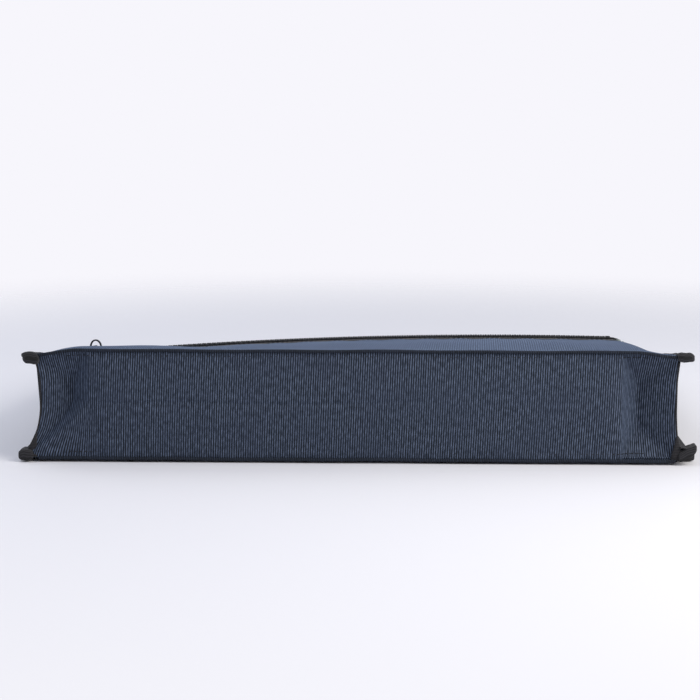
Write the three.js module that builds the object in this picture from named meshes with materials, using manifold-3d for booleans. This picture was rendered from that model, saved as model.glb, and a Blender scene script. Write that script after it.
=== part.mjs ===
// Zipper document bag, lying on its back: woven shell with a flat base, bellows sides,
// a front pocket with its own zipper, a zipped mouth and two webbing handles.
// Millimetres. X runs along the base, Y from the base to the mouth, Z up out of the table.
import * as THREE from "three";
import { mergeVertices } from "three/addons/utils/BufferGeometryUtils.js";
import Module from "manifold-3d";

const wasm = await Module();
wasm.setup();

// Bag
const halfWidth = 173; // edge of the front and back panels
const baseDepth = 61.5; // table to the front seam of the base
const bagHeight = 270; // base to mouth
const cloth = 1.2; // coated cloth with its foam backing
const gap = 0.3; // between pieces that touch
const backRise = 2.3; // outer face of the back panel above the table
const mouthTop = baseDepth / 3; // front panel's height at the mouth
const cornerDrop = 2.6; // the front seam falls this much to each corner
const cornerStart = halfWidth - 23.5; // where that fall begins
const edgeSag = 3; // side seam hangs below a straight line

// Dents at the ends of the base, where the side bellows pull the cloth in
const dentInner = halfWidth - 29; // the board ends just short of here
const dentValley = halfWidth - 18;
const dentDepth = 7;
const dentRim = 3.2; // depth left at the outer fold
const dentCorner = 20; // height over which the dent fades to a corner
const edgeBow = 1.5; // the end fold bows in between its corners

// Side bellows
const bellowsDepth = 14;
const bellowsRise = 60; // length over which the fold deepens
const bellowsMouth = 4; // fold depth left at the mouth
const bellowsEase = 120; // length over which it eases to that

// Bound side seams, with the folded binding ends that stick out at the base
const frontBinding = { width: 8.6, thick: 3, ear: 6.2 };
const backBinding = { width: 10.4, thick: 3, ear: 5.8 };
const earLength = 8;
const earProud = 1.5;
const seamRidge = 2.4; // topstitched ridge along the base seams
const ridgeProud = 1.2;
const endPiping = { wide: 1.6, deep: 1.5 };

// Base board
const board = { endClearance: 2.5, thick: 2, margin: 3, lift: 0.5 };

// Zippers
const tapeThick = 0.6;
const tapeSlot = 1.6; // between the two tapes, under the teeth
const toothCount = 105;
const teethPerLength = 7;
const toothTip = 1.2;
const toothRoot = 0.9;
const toothReach = 1.1; // past the middle line
const rowWidth = 3.2; // middle line to the row's outer edge
const rowThick = 1.6;
const pocketTape = 26; // both tapes together
const pocketZipY = 113;
const pocketZipCrest = baseDepth - 9.5; // tape height at the crest of its curve
const pocketZipCrestX = 85;
const pocketZipRadius = 2700; // the stuffed front bows the zipper to this radius
const pocketZipSlope = -0.11; // fall towards the mouth
// beyond these the tape dives to the side seams
const zipBlendLeft = 8.5 - halfWidth;
const zipBlendRight = halfWidth - 24;
const sideFade = 30; // from the base seam, over which that dive sets in
const pocketParkX = 15 - halfWidth; // middle of the slider when closed
const pocketFarX = zipBlendRight - 8.5;
const mainParkX = 21.5 - halfWidth;
const mainFarX = halfWidth - 21.5;

// Slider
const slider = {
  length: 11, nose: 9.2, tail: 7.6, plate: 1.2, wall: 1, run: 0.4, post: 0.9, postLength: 2.2,
};
const bail = { length: 7.2, height: 5.4, wire: 0.9, width: 1.6 };
const puller = { length: 15, width: 5, thick: 1, arm: 0.9, bar: 0.55, pivot: 1.3, start: 4.6, tilt: 4 };
const stop = { length: 2.4, width: 2.6, thick: 1.7 };

// Pocket lining
const liningRise = 0.6 * baseDepth;
const liningThick = 0.8;
const liningHalf = halfWidth - 11.5;

// Handles
const handle = {
  width: 25, thick: 2, spread: 140, sewnFrom: bagHeight - 48, hingeY: bagHeight - 7,
  reach: 112, legs: 34, droopFrom: bagHeight + 11, droopTo: bagHeight + 82, pivotLift: 1,
};

const smooth = (t) => {
  const c = Math.min(1, Math.max(0, t));
  return c * c * (3 - 2 * c);
};
const lerp = (a, b, t) => a + (b - a) * t;
const steps = (from, to, count) =>
  Array.from({ length: count + 1 }, (_, i) => lerp(from, to, i / count));

// Cubic from (0, a) with slope sa to (length, b) with slope sb
const hermite = (s, length, a, sa, b, sb) => {
  const t = s / length;
  const t2 = t * t;
  const t3 = t2 * t;
  return (2 * t3 - 3 * t2 + 1) * a + (t3 - 2 * t2 + t) * length * sa +
    (3 * t2 - 2 * t3) * b + (t3 - t2) * length * sb;
};

// Surfaces of the stuffed bag

const seamHeight = (x) =>
  baseDepth - cornerDrop * smooth((Math.abs(x) - cornerStart) / (halfWidth - cornerStart));

const edgeHeight = (y) =>
  lerp(baseDepth - cornerDrop, mouthTop, y / bagHeight) - edgeSag * Math.sin((Math.PI * y) / bagHeight);

const pocketZipHeight = (x) => {
  const dx = x - pocketZipCrestX;
  return pocketZipCrest - pocketZipRadius + Math.sqrt(pocketZipRadius ** 2 - dx * dx);
};

const bandStart = pocketZipY - pocketTape / 2;
const bandEnd = pocketZipY + pocketTape / 2;
const nearSlope = { left: -0.13, right: -0.03, over: 150 };
const farSlope = { start: -0.16, end: -0.24 };

const frontHeight = (x, y) => {
  const zip = pocketZipHeight(x);
  const atBand = (v) => zip + pocketZipSlope * (v - pocketZipY);
  let plateau = atBand(y);
  if (y < bandStart) {
    const slope = lerp(nearSlope.left, nearSlope.right, smooth((x - zipBlendLeft) / nearSlope.over));
    plateau = hermite(y, bandStart, seamHeight(x), slope, atBand(bandStart), pocketZipSlope);
  }
  if (y > bandEnd)
    plateau = hermite(y - bandEnd, bagHeight - bandEnd, atBand(bandEnd), farSlope.start, mouthTop, farSlope.end);
  const side = x < 0 ? (zipBlendLeft - x) / (zipBlendLeft + halfWidth) : (x - zipBlendRight) / (halfWidth - zipBlendRight);
  return lerp(plateau, edgeHeight(y), smooth(side) * smooth(y / sideFade));
};

// How far the base cloth is dented in at (x, z)
const baseDent = (x, z) => {
  const a = Math.abs(x);
  const top = seamHeight(x);
  const corner = Math.min(z, top - z) / dentCorner;
  const inner = (a - dentInner) / (dentValley - dentInner);
  const outer = 1 - ((a - dentValley) / (halfWidth - dentValley)) * (1 - dentRim / dentDepth);
  return dentDepth * Math.max(0, Math.min(corner, inner, outer, 1));
};

const baseBow = (z) => edgeBow * smooth(Math.min(z, baseDepth - z) / dentCorner);

// A closed solid between two faces, each a function of (u, v)
function closedSheet(us, vs, faceA, faceB) {
  const positions = [];
  const index = [];
  const columns = vs.length;
  const count = us.length * columns;
  for (const face of [faceA, faceB])
    for (const u of us) for (const v of vs) positions.push(...face(u, v));
  const at = (side, i, j) => side * count + i * columns + j;
  const quad = (a, b, c, d) => index.push(a, b, c, a, c, d);
  for (let i = 0; i + 1 < us.length; i++)
    for (let j = 0; j + 1 < columns; j++) {
      quad(at(0, i, j), at(0, i + 1, j), at(0, i + 1, j + 1), at(0, i, j + 1));
      quad(at(1, i, j), at(1, i, j + 1), at(1, i + 1, j + 1), at(1, i + 1, j));
    }
  for (let i = 0; i + 1 < us.length; i++) {
    const last = columns - 1;
    quad(at(0, i, 0), at(1, i, 0), at(1, i + 1, 0), at(0, i + 1, 0));
    quad(at(0, i, last), at(0, i + 1, last), at(1, i + 1, last), at(1, i, last));
  }
  for (let j = 0; j + 1 < columns; j++) {
    const last = us.length - 1;
    quad(at(0, 0, j), at(0, 0, j + 1), at(1, 0, j + 1), at(1, 0, j));
    quad(at(0, last, j), at(1, last, j), at(1, last, j + 1), at(0, last, j + 1));
  }
  return facingOut(positions, index);
}

function facingOut(positions, index) {
  const point = (i) => new THREE.Vector3().fromArray(positions, 3 * i);
  let volume = 0;
  for (let i = 0; i < index.length; i += 3)
    volume += point(index[i]).dot(point(index[i + 1]).cross(point(index[i + 2])));
  const faces = volume < 0 ? index.slice().reverse() : index;
  return new THREE.BufferGeometry()
    .setAttribute("position", new THREE.Float32BufferAttribute(positions, 3))
    .setIndex(faces);
}

// Moves each vertex of a geometry by a function of its place
function bent(geometry, move) {
  const position = geometry.getAttribute("position");
  for (let i = 0; i < position.count; i++)
    position.setXYZ(i, ...move(position.getX(i), position.getY(i), position.getZ(i)));
  return geometry;
}

// Booleans
function solidOf(geometry) {
  const bare = new THREE.BufferGeometry().setAttribute("position", geometry.getAttribute("position"));
  if (geometry.index) bare.setIndex(geometry.index);
  const merged = mergeVertices(bare, 1e-4);
  return new wasm.Manifold(new wasm.Mesh({
    numProp: 3,
    vertProperties: merged.getAttribute("position").array,
    triVerts: new Uint32Array(merged.index.array),
  }));
}

function geometryOf(solid) {
  const mesh = solid.getMesh();
  return new THREE.BufferGeometry()
    .setAttribute("position", new THREE.BufferAttribute(mesh.vertProperties, 3))
    .setIndex(new THREE.BufferAttribute(mesh.triVerts, 1));
}

const joined = (...geometries) =>
  geometryOf(geometries.map(solidOf).reduce((all, next) => all.add(next)));

const block = (x0, x1, y0, y1, z0, z1) =>
  new THREE.BoxGeometry(x1 - x0, y1 - y0, z1 - z0)
    .translate((x0 + x1) / 2, (y0 + y1) / 2, (z0 + z1) / 2);

const outlineOf = (points) => new THREE.Shape(points.map(([x, y]) => new THREE.Vector2(x, y)));

const extruded = (shape, depth, curveSegments = 8) =>
  new THREE.ExtrudeGeometry(shape, { depth, bevelEnabled: false, curveSegments });

// Materials
const finish = (color, roughness, metalness = 0) =>
  new THREE.MeshStandardMaterial({ color, roughness, metalness, side: THREE.DoubleSide });
const navyCloth = finish(0x36404f, 0.85);
const blackTape = finish(0x1b1b1e, 0.9);
const blackWebbing = finish(0x17181a, 0.85);
const zipTape = finish(0x16171a, 0.9);
const nylonTeeth = finish(0x101114, 0.45);
const gunmetal = finish(0x2b2d31, 0.35, 1);
const greyBoard = finish(0x77736b, 0.8);
const liningCloth = finish(0x2a3039, 0.8);

const bag = new THREE.Group();
const add = (name, geometry, material, parent = bag) => {
  const mesh = new THREE.Mesh(geometry, material);
  mesh.name = name;
  parent.add(mesh);
  return mesh;
};

// A piece of the front: v is its height above the surface
const onFront = (x, y, lift) => [x, y, frontHeight(x, y) + lift];
const frontColumns = [
  ...steps(-halfWidth, zipBlendLeft, 3), ...steps(zipBlendLeft + 16, zipBlendRight - 12, 11),
  ...steps(zipBlendRight, halfWidth, 6),
];

function frontPatch(rows, top, bottom, columns = frontColumns) {
  return closedSheet(columns, rows, (x, y) => onFront(x, y, top), (x, y) => onFront(x, y, bottom));
}

function buildPanels() {
  const start = ridgeProud + gap;
  add("pocket_front", frontPatch(steps(start, bandStart - gap, 6), 0, -cloth), navyCloth);
  const upperRows = steps(bandEnd + gap, bagHeight - 1, 7);
  add("front_panel", frontPatch(upperRows, 0, -cloth), navyCloth);

  add("back_panel", block(-halfWidth, halfWidth, start, bagHeight - 1, backRise, backRise + cloth), navyCloth);

  const ends = [...steps(dentInner, dentValley, 3), ...steps(dentValley, halfWidth - 0.2, 3).slice(1)];
  const columns = [...ends.map((x) => -x).reverse(), 0, ...ends];
  const low = backRise + cloth + gap;
  const high = (x) => seamHeight(x) - seamRidge + 0.1;
  const bowed = (x, z) => x - Math.sign(x) * baseBow(z) * smooth((Math.abs(x) - dentInner) / (halfWidth - dentInner));
  const face = (shift) => (x, t) => {
    const z = lerp(low, high(x), t);
    return [bowed(x, z), baseDent(x, z) + shift, z];
  };
  add("base_panel", closedSheet(columns, steps(0, 1, 12), face(0), face(cloth)), navyCloth);

  const halfBoard = dentInner - board.endClearance;
  const boardY = cloth + gap;
  const boardTop = baseDepth - seamRidge - board.margin;
  add("base_board", block(-halfBoard, halfBoard, boardY, boardY + board.thick, low + board.lift, boardTop), greyBoard);
}

// Fold depth of a side gusset at distance y from the base and share t of its height
const bellows = (y, t) => {
  const middle = 1 - Math.abs(2 * t - 1);
  const deep = lerp(edgeBow, bellowsDepth, smooth(y / bellowsRise));
  const eased = lerp(deep, bellowsMouth, smooth((y - bagHeight + bellowsEase) / bellowsEase));
  return eased * middle;
};

function buildGusset(side, name) {
  const low = backRise + cloth + gap;
  const roof = (y) => Math.min(edgeHeight(y), frontHeight(side * (halfWidth - 2 * cloth), y)) - cloth - gap;
  const face = (inward) => (s, t) => {
    const zStart = lerp(low, roof(0), t);
    const yStart = baseDent(halfWidth, zStart) + cloth + gap + 0.6;
    const y = lerp(yStart, bagHeight - 2, s);
    const z = lerp(low, roof(y), t);
    return [side * (halfWidth - 0.3 - bellows(y, t) - inward), y, z];
  };
  add(name, closedSheet(steps(0, 1, 12), steps(0, 1, 6), face(0), face(cloth)), navyCloth);
}

// A bound seam: the tape wraps the raw edges, and its folded end sticks out at the base
function buildBinding(side, name, size, middle) {
  const rows = [-earProud, -0.6, 2, earLength - 1.5, earLength, ...steps(2.5 * earLength, bagHeight, 12)];
  const inner = halfWidth + gap;
  const half = (y) => (y < earLength - 0.5 ? size.ear : size.thick) / 2 - (y < -1 ? 0.6 : 0);
  const reach = (y) => size.width - (y < -1 ? 1.2 : 0);
  const across = [0, 0.3, 0.75, 1];
  const swell = (t) => [0.86, 1, 0.95, 0.6][across.indexOf(t)];
  const face = (up) => (y, t) => {
    const centre = middle(Math.max(0, y), half(y));
    return [side * (inner + t * reach(y)), y, centre + up * half(y) * swell(t)];
  };
  add(name, closedSheet(rows, across, face(1), face(-1)), blackTape);
}

// Topstitched ridge where a panel turns into the base
function buildRidge(name, height) {
  const columns = [...steps(-halfWidth + 1, -cornerStart, 3), 0, ...steps(cornerStart, halfWidth - 1, 3)];
  const section = [[-ridgeProud, 0.5], [-0.5, 0], [ridgeProud - 0.2, 0]];
  const face = (upper) => (x, k) => {
    const [y, inset] = section[k];
    const low = height(x) - seamRidge + 0.4 + inset;
    return [x, y, upper ? height(x) + 0.4 - inset : low];
  };
  add(name, closedSheet(columns, [0, 1, 2], face(true), face(false)), navyCloth);
}

// Thin black edge that runs down the end fold between two binding ends
function buildEndPiping(side, name) {
  const low = backBinding.ear + gap;
  const high = edgeHeight(0) - frontBinding.ear / 2 - gap - 0.6;
  const rows = steps(low, high, 8);
  const face = (deep) => (z, t) => {
    const x = halfWidth - baseBow(z) + gap + t * endPiping.wide - 0.2;
    return [side * x, baseDent(halfWidth, z) + (deep ? endPiping.deep : 0), z];
  };
  add(name, closedSheet(rows, [0, 1], face(false), face(true)), blackTape);
}

// A solid of one thickness over flat polygons that share corners
function prism(polygons, thick) {
  const points = [];
  const numbers = new Map();
  const numberOf = ([x, y]) => {
    const key = `${x.toFixed(4)},${y.toFixed(4)}`;
    if (!numbers.has(key)) numbers.set(key, points.push([x, y]) - 1);
    return numbers.get(key);
  };
  const triangles = [];
  for (const polygon of polygons) {
    const corners = polygon.map(([x, y]) => new THREE.Vector2(x, y));
    for (const cut of THREE.ShapeUtils.triangulateShape(corners, [])) {
      const [p, q, r] = cut.map((i) => corners[i]);
      const turn = q.clone().sub(p).cross(r.clone().sub(p));
      const numbered = cut.map((i) => numberOf(polygon[i]));
      triangles.push(turn > 0 ? numbered : numbered.reverse());
    }
  }
  const count = points.length;
  const index = [];
  const sides = ([a, b, c]) => [[a, b], [b, c], [c, a]];
  const inner = new Set(triangles.flatMap(sides).map(([p, q]) => `${q},${p}`));
  for (const triangle of triangles) {
    index.push(...triangle.map((i) => i + count), ...triangle.slice().reverse());
    for (const [p, q] of sides(triangle))
      if (!inner.has(`${p},${q}`)) index.push(p, q, q + count, p, q + count, p + count);
  }
  const layer = (z) => points.flatMap(([x, y]) => [x, y, z]);
  return new THREE.BufferGeometry()
    .setAttribute("position", new THREE.Float32BufferAttribute([...layer(0), ...layer(thick)], 3))
    .setIndex(index);
}

// One row of zipper teeth in the plane, along X, with its teeth crossing the middle line at v = 0.
// It is made in short lengths, so that it can be bent to the bag's surface
function toothRow(from, to, side, start) {
  const pitch = (to - from) / toothCount;
  const root = side * toothReach;
  const lengths = [];
  for (let first = 0; first < toothCount; first += teethPerLength) {
    const x0 = from + first * pitch;
    const x1 = x0 + teethPerLength * pitch;
    const outline = [[x0, side * rowWidth], [x0, root]];
    for (let k = 0; k < teethPerLength; k++) {
      const x = x0 + (k + start) * pitch;
      outline.push([x - toothRoot / 2, root], [x - toothTip / 2, -root]);
      outline.push([x + toothTip / 2, -root], [x + toothRoot / 2, root]);
    }
    outline.push([x1, root], [x1, side * rowWidth]);
    lengths.push(outline);
  }
  return prism(lengths, rowThick);
}

// Slider about the origin: X along the zipper with the nose at -X, Z away from the tape's outer face
function sliderSolid() {
  const half = slider.length / 2;
  const under = gap + rowThick + slider.run;
  const plan = (inset) => {
    const shape = new THREE.Shape();
    shape.moveTo(-half + inset, -slider.nose / 2 + 1.6 + inset);
    shape.quadraticCurveTo(-half + inset, -slider.nose / 2 + inset, -half + 2, -slider.nose / 2 + inset);
    shape.lineTo(half - 1 - inset, -slider.tail / 2 + inset);
    shape.lineTo(half - inset, -slider.tail / 2 + 1 + inset);
    shape.lineTo(half - inset, slider.tail / 2 - 1 - inset);
    shape.lineTo(half - 1 - inset, slider.tail / 2 - inset);
    shape.lineTo(-half + 2, slider.nose / 2 - inset);
    shape.quadraticCurveTo(-half + inset, slider.nose / 2 - inset, -half + inset, slider.nose / 2 - 1.6 - inset);
    return shape;
  };
  const top = extruded(plan(0), slider.plate, 3).translate(0, 0, under);
  const bottom = extruded(plan(0), slider.plate, 3)
    .translate(0, 0, -tapeThick - slider.run - slider.plate);
  const post = block(
    -half + 0.5, -half + 0.5 + slider.postLength, -slider.post / 2, slider.post / 2,
    -tapeThick - slider.run - 0.2, under + 0.2,
  );
  const lip = 0.35; // the flange stops this far above the tape
  const flange = (side) => {
    const outer = [[-half + 2, side * (slider.nose / 2)], [half - 1, side * (slider.tail / 2)]];
    const inner = outer.map(([x, y]) => [x, y - side * Math.min(slider.wall, Math.abs(y) - rowWidth - 0.35)]);
    const shape = outlineOf([...outer, inner[1], inner[0]]);
    const turned = side > 0 ? new THREE.Shape(shape.getPoints().reverse()) : shape;
    return extruded(turned, under + 0.2 - lip).translate(0, 0, lip);
  };
  return joined(top, bottom, post, flange(1), flange(-1), bailSolid().translate(0, 0, under + slider.plate));
}

// The wire arch that carries the puller
function bailSolid() {
  const arch = new THREE.Shape();
  const foot = -0.2;
  arch.moveTo(-bail.length / 2, foot);
  arch.lineTo(-bail.length / 2 + bail.wire, foot);
  const inside = bail.length / 2 - bail.wire;
  arch.absellipse(0, 0.8, inside, bail.height - bail.wire - 0.8, Math.PI, 0, true);
  arch.lineTo(inside, foot);
  arch.lineTo(bail.length / 2, foot);
  arch.absellipse(0, 0.8, bail.length / 2, bail.height - 0.8, 0, Math.PI, false);
  return extruded(arch, bail.width, 7).rotateX(Math.PI / 2).translate(0, bail.width / 2, 0);
}

// Puller about its pivot, lying towards -X: a cross bar under the arch, two arms and a tab
function pullerSolid() {
  const half = puller.width / 2;
  const bar = new THREE.CylinderGeometry(puller.bar, puller.bar, puller.width, 8);
  const arm = (side) => {
    const y0 = side > 0 ? half - puller.arm : -half;
    return block(-puller.start - 0.5, 0.4, y0, y0 + puller.arm, -puller.thick / 2, puller.thick / 2);
  };
  const tab = new THREE.Shape();
  tab.moveTo(-puller.start, -half);
  tab.lineTo(-puller.start, half);
  tab.lineTo(-puller.length + 2.5, half);
  tab.quadraticCurveTo(-puller.length, half, -puller.length, 0);
  tab.quadraticCurveTo(-puller.length, -half, -puller.length + 2.5, -half);
  const slot = new THREE.Path();
  slot.absarc(-puller.length + 4, 0, 1.2, Math.PI / 2, (3 * Math.PI) / 2, false);
  slot.absarc(-puller.length + 9, 0, 1.2, -Math.PI / 2, Math.PI / 2, false);
  tab.holes.push(slot);
  const blade = extruded(tab, puller.thick, 5).translate(0, 0, -puller.thick / 2);
  return joined(bar, arm(1), arm(-1), blade);
}

const pullerLift = gap + rowThick + slider.run + slider.plate + puller.pivot;

function buildPocketZipper() {
  const slot = tapeSlot / 2;
  const rows = {
    lower: [bandStart, pocketZipY - slot],
    upper: [pocketZipY + slot, bandEnd],
  };
  for (const [name, span] of Object.entries(rows))
    add(`pocket_zip_tape_${name}`, frontPatch(steps(span[0], span[1], 1), 0, -tapeThick), zipTape);

  const from = pocketParkX - slider.length / 2 + slider.postLength + 1;
  const to = pocketFarX + slider.length / 2 - 0.6;
  const seat = (x, v, w) => onFront(x, pocketZipY + v, gap + w);
  add("pocket_teeth_lower", bent(toothRow(from, to, -1, 0.25), seat), nylonTeeth);
  add("pocket_teeth_upper", bent(toothRow(from, to, 1, 0.75), seat), nylonTeeth);

  const stopAt = (name, x, v0, v1) =>
    add(name, bent(block(x, x + stop.length, v0, v1, 0, stop.thick), seat), gunmetal);
  const topStop = pocketParkX - slider.length / 2 - gap - stop.length;
  stopAt("pocket_top_stop_lower", topStop, -stop.width - 1, -1);
  stopAt("pocket_top_stop_upper", topStop, 1, stop.width + 1);
  stopAt("pocket_bottom_stop", to + gap, -stop.width, stop.width);

  const seatAngle = Math.asin((pocketParkX - pocketZipCrestX) / pocketZipRadius);
  const carrier = new THREE.Group();
  carrier.position.set(pocketParkX, pocketZipY, pocketZipHeight(pocketParkX));
  carrier.rotation.set(Math.atan(pocketZipSlope), seatAngle, 0, "YXZ");
  bag.add(carrier);
  add("pocket_slider", sliderSolid(), gunmetal, carrier);
  const pull = add("pocket_puller", pullerSolid(), gunmetal, carrier);
  pull.position.z = pullerLift;
  pull.rotation.y = -THREE.MathUtils.degToRad(puller.tilt);
}

const mouthLow = backRise + cloth + gap;
const mouthHigh = mouthTop - cloth - gap - 0.3;
const mouthMiddle = (mouthLow + mouthHigh) / 2;

function buildMouthZipper() {
  const half = halfWidth - bellowsMouth - 2;
  const face = bagHeight;
  const tape = (name, z0, z1) =>
    add(name, block(-half, half, face - tapeThick, face, z0, z1), zipTape);
  tape("mouth_zip_tape_back", mouthLow, mouthMiddle - tapeSlot / 2);
  tape("mouth_zip_tape_front", mouthMiddle + tapeSlot / 2, mouthHigh);

  // The plane of the zipper stands upright: v runs up, and the teeth stand out along +Y
  const stood = (x, v, w) => [x, face + gap + w, mouthMiddle + v];
  const from = mainParkX - slider.length / 2 + slider.postLength + 1;
  const to = mainFarX + slider.length / 2 - 0.6;
  const turned = (geometry) => {
    const moved = bent(geometry.index ? geometry.toNonIndexed() : geometry, stood);
    const flat = Array.from(moved.getAttribute("position").array);
    return facingOut(flat, flat.slice(0, flat.length / 3).map((_, i) => i));
  };
  add("mouth_teeth_back", turned(toothRow(from, to, -1, 0.25)), nylonTeeth);
  add("mouth_teeth_front", turned(toothRow(from, to, 1, 0.75)), nylonTeeth);
  const stopAt = (name, x, v0, v1) =>
    add(name, turned(block(x, x + stop.length, v0, v1, 0, stop.thick)), gunmetal);
  const topStop = mainParkX - slider.length / 2 - gap - stop.length;
  stopAt("mouth_top_stop_back", topStop, -stop.width - 1, -1);
  stopAt("mouth_top_stop_front", topStop, 1, stop.width + 1);
  stopAt("mouth_bottom_stop", to + gap, -stop.width, stop.width);

  const carrier = new THREE.Group();
  carrier.position.set(mainParkX, face, mouthMiddle);
  carrier.rotation.x = -Math.PI / 2;
  bag.add(carrier);
  add("mouth_slider", sliderSolid(), gunmetal, carrier);
  const pull = add("mouth_puller", pullerSolid(), gunmetal, carrier);
  pull.position.z = pullerLift;
  pull.rotation.y = -THREE.MathUtils.degToRad(puller.tilt);
}

// Inner wall of the front pocket: a tray that rises to the base seam and to the upper tape
function buildLining() {
  const nearTop = baseDepth - seamRidge - cloth - 2;
  const farY = bandEnd + 6;
  const profile = [
    [cloth + gap, nearTop], [3 * cloth, nearTop - 10], [8 * cloth, liningRise + 2], [15 * cloth, liningRise],
    [bandStart, liningRise - 3], [farY, liningRise - 6],
  ];
  const face = (down) => (x, k) => {
    const [y, z] = profile[k];
    const roof = frontHeight(x, Math.max(y, 3)) - cloth - gap - 2.2;
    return [x, y + (k < 2 ? down * liningThick : 0) + (k === 0 ? gap * 2 : 0), Math.min(z, roof) - down * liningThick];
  };
  const columns = steps(-liningHalf, liningHalf, 16);
  add("pocket_lining", closedSheet(columns, [0, 1, 2, 3, 4, 5], face(0), face(1)), liningCloth);
}

// Half of a handle's centre line in plan, from the hinge to the top of the arch
function handlePath() {
  const half = handle.spread / 2;
  const legTop = handle.hingeY + handle.legs;
  const rise = handle.reach - handle.legs - handle.width / 2;
  const path = [];
  for (const y of steps(handle.hingeY + 0.5, legTop, 5)) path.push([-half, y, -1, 0]);
  for (const a of steps(Math.PI, 0, 16).slice(1, -1)) {
    const normal = new THREE.Vector2(Math.cos(a) / half, Math.sin(a) / rise).normalize();
    path.push([half * Math.cos(a), legTop + rise * Math.sin(a), normal.x, normal.y]);
  }
  for (const y of steps(legTop, handle.hingeY + 0.5, 5)) path.push([half, y, 1, 0]);
  return path;
}

function buildHandle(name, heightAt, sewnHeight, above) {
  const path = handlePath();
  const half = handle.width / 2;
  const thick = handle.thick;
  const face = (lift) => (k, v) => {
    const [x, y, nx, ny] = path[k];
    const px = x + nx * v * half;
    const py = y + ny * v * half;
    return [px, py, heightAt(py) + lift];
  };
  const stations = path.map((_, k) => k);
  add(`${name}_handle`, closedSheet(stations, [-1, 0, 1], face(0), face(thick)), blackWebbing);
  for (const [side, word] of [[-1, "left"], [1, "right"]]) {
    const x = (side * handle.spread) / 2;
    const sewn = (lift) => (px, y) => [px, y, sewnHeight(px, y) + lift];
    const rows = steps(handle.sewnFrom, handle.hingeY - 0.5, above ? 4 : 1);
    const columns = [x - half, x, x + half];
    add(`${name}_handle_end_${word}`, closedSheet(columns, rows, sewn(0), sewn(thick)), blackWebbing);
  }
}

function buildHandles() {
  const seat = frontHeight(0, handle.hingeY) + gap;
  const slope = (frontHeight(0, handle.hingeY) - frontHeight(0, handle.hingeY - 4)) / 4;
  const rest = handle.thick + gap;
  const droop = (y) => {
    const high = seat + slope * (Math.min(y, handle.droopFrom) - handle.hingeY) * 0.6;
    return lerp(high, rest, smooth((y - handle.droopFrom) / (handle.droopTo - handle.droopFrom)));
  };
  buildHandle("front", droop, (x, y) => frontHeight(x, y) + gap, true);
  buildHandle("back", () => 0, () => 0, false);
}

buildPanels();
buildGusset(-1, "left_gusset");
buildGusset(1, "right_gusset");
const frontMiddle = (y) => edgeHeight(y) - cloth / 2;
const backMiddle = (y, half) => half;
for (const [side, word] of [[-1, "left"], [1, "right"]]) {
  buildBinding(side, `front_${word}_binding`, frontBinding, frontMiddle);
  buildBinding(side, `back_${word}_binding`, backBinding, backMiddle);
  buildEndPiping(side, `${word}_end_piping`);
}
buildRidge("front_base_ridge", seamHeight);
buildRidge("back_base_ridge", () => seamRidge);
buildPocketZipper();
buildMouthZipper();
buildLining();
buildHandles();

// Origin on the table, under the middle of the whole
const bounds = new THREE.Box3().setFromObject(bag);
const centre = bounds.getCenter(new THREE.Vector3());
bag.position.set(-centre.x, -centre.y, -bounds.min.z);
bag.updateMatrixWorld(true);

export default bag;
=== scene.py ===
import math

import bpy
import numpy as np
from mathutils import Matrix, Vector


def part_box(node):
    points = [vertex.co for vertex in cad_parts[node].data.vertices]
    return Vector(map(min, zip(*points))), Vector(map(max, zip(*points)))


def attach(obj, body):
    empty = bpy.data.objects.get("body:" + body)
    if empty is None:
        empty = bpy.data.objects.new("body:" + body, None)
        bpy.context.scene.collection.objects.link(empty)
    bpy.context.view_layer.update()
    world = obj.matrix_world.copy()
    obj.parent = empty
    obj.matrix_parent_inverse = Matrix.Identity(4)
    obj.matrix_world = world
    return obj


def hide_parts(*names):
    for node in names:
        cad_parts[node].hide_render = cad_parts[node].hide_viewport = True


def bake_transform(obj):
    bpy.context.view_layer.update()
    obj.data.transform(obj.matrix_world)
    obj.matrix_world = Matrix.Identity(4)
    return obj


bpy.ops.wm.read_factory_settings(use_empty=True)
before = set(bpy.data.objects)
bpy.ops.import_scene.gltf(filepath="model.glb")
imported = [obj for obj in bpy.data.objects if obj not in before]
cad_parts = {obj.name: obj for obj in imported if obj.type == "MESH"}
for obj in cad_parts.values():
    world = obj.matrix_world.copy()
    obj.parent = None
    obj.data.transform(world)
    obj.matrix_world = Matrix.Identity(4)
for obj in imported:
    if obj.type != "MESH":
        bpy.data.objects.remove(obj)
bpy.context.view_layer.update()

mm = 0.001


# Where the frame's own pieces stand, in millimetres

def boxOf(node):
    low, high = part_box(node)
    return np.array(low) / mm, np.array(high) / mm


panelLow, panelHigh = boxOf("back_panel")
halfWidth = panelHigh[0]
mouthY = boxOf("mouth_zip_tape_front")[1][1]
bagHeight = 270.0
baseY = mouthY - bagHeight  # the base's plane
tapeLowY = boxOf("pocket_zip_tape_lower")[0][1] - baseY
tapeHighY = boxOf("pocket_zip_tape_upper")[1][1] - baseY

bag = {
    "depth": 61.5,  # table to the front seam of the base
    "cloth": 1.2,
    "mouthTop": 20.5,  # front panel at the mouth
    "cornerDrop": 2.6,
    "cornerSpan": 23.5,
    "edgeSag": 3.0,
    "zipCrest": 52.0,  # crest of the pocket zipper
    "zipCrestX": 85.0,
    "zipRadius": 2700.0,  # the zipper's bow over the stuffed front
    "zipSlope": -0.11,
    "diveLeft": 8.5,  # the zipper dives to the side seams over these widths
    "diveRight": 24.0,
    "diveSetIn": 30.0,
    "nearSlopeLeft": -0.13,
    "nearSlopeRight": -0.03,
    "nearSlopeOver": 150.0,
    "farSlopeZip": -0.16,  # the front's slope where it leaves the zipper, and at the mouth
    "farSlopeMouth": -0.24,
    "edgeBow": 1.5,
}


def smooth(t):
    c = np.clip(t, 0.0, 1.0)
    return c * c * (3 - 2 * c)


def lerp(a, b, t):
    return a + (b - a) * t


def together(*values):
    return np.broadcast_arrays(*(np.asarray(value, float) for value in values))


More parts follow.
